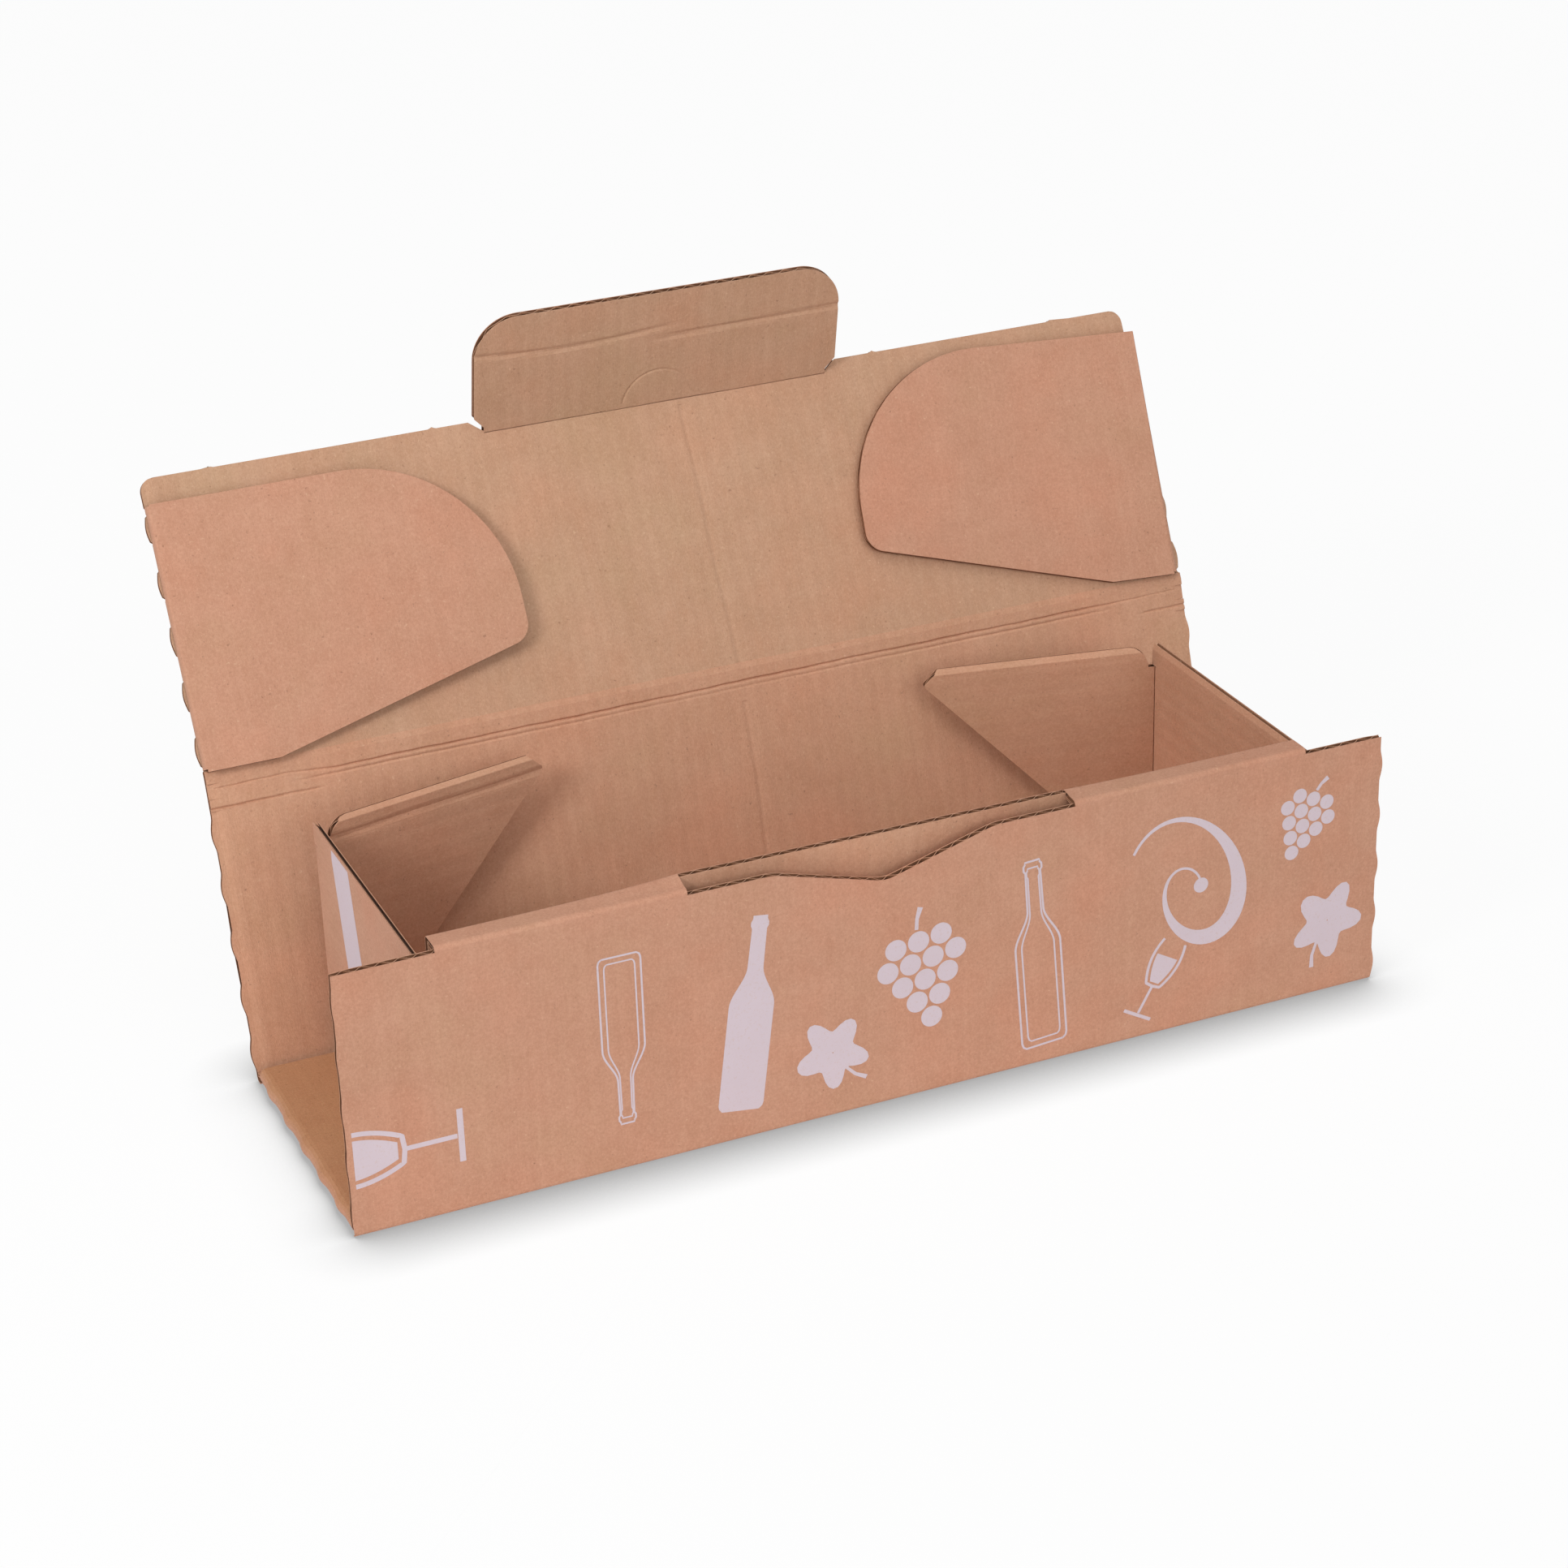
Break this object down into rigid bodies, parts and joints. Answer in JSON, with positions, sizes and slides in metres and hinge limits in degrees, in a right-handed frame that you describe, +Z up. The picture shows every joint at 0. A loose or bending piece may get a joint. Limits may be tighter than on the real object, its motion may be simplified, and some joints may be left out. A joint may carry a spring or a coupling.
{
  "type": "bottle shipping box",
  "caption": "Long corrugated board box for one bottle, with a double front wall, a hinged lid with a tuck tab, folded lid flaps and open crush spaces past its end walls.",
  "frame": {"origin": "middle of the underside of the tray", "axes": "+X along the box, +Y from the front wall to the back wall, +Z up"},
  "size_m": [0.4042, 0.2038, 0.2481],
  "materials": {
    "kraft_board": "uncoated brown kraft corrugated board with a soft matte surface"
  },
  "bodies": {
    "tray": {"tray": "kraft_board"},
    "back_wall": {"back_wall": "kraft_board"},
    "spine_strip": {"spine_strip": "kraft_board"},
    "lid": {"lid": "kraft_board"},
    "tuck_tab": {"tuck_tab": "kraft_board"},
    "lid_flap_left": {"lid_flap_left": "kraft_board"},
    "lid_flap_right": {"lid_flap_right": "kraft_board"},
    "back_flap_left": {"back_flap_left": "kraft_board"},
    "back_flap_right": {"back_flap_right": "kraft_board"}
  },
  "joints": [
    {"name": "back_wall_fold", "type": "hinge", "parent": "tray", "child": "back_wall", "pos_m": [0, 0.05875, 0], "axis": [1, 0, 0], "range_deg": [-4.5, 17]},
    {"name": "strip_fold", "type": "hinge", "parent": "back_wall", "child": "spine_strip", "pos_m": [0, 0.08886, 0.0985], "axis": [1, 0, 0], "range_deg": [-11.95, 45]},
    {"name": "lid_fold", "type": "hinge", "parent": "spine_strip", "child": "lid", "pos_m": [0, 0.09179, 0.10806], "axis": [1, 0, 0], "range_deg": [-15.1, 57]},
    {"name": "tab_fold", "type": "hinge", "parent": "lid", "child": "tuck_tab", "pos_m": [0, 0.14327, 0.20095], "axis": [1, 0, 0], "range_deg": [-41, 49]},
    {"name": "lid_flap_left_fold", "type": "hinge", "parent": "lid", "child": "lid_flap_left", "pos_m": [-0.2002, 0.11375, 0.15397], "axis": [0, -0.4848, -0.8746], "range_deg": [0, 180]},
    {"name": "lid_flap_right_fold", "type": "hinge", "parent": "lid", "child": "lid_flap_right", "pos_m": [0.2002, 0.11375, 0.15397], "axis": [0.0305, 0.4846, 0.8742], "range_deg": [0, 180]},
    {"name": "back_flap_left_fold", "type": "hinge", "parent": "tray", "child": "back_flap_left", "pos_m": [-0.1712, 0.05525, 0.05], "axis": [0, 0, 1], "range_deg": [-12, 3.2]},
    {"name": "back_flap_right_fold", "type": "hinge", "parent": "tray", "child": "back_flap_right", "pos_m": [0.1712, 0.05525, 0.05], "axis": [0, 0, 1], "range_deg": [-3.2, 12]}
  ],
  "couplings": [
    {"joint": "strip_fold", "follows": "back_wall_fold", "ratio": 2.6471},
    {"joint": "lid_fold", "follows": "back_wall_fold", "ratio": 3.3529},
    {"joint": "back_flap_left_fold", "follows": "back_wall_fold", "ratio": -0.70588},
    {"joint": "back_flap_right_fold", "follows": "back_wall_fold", "ratio": 0.70588}
  ]
}
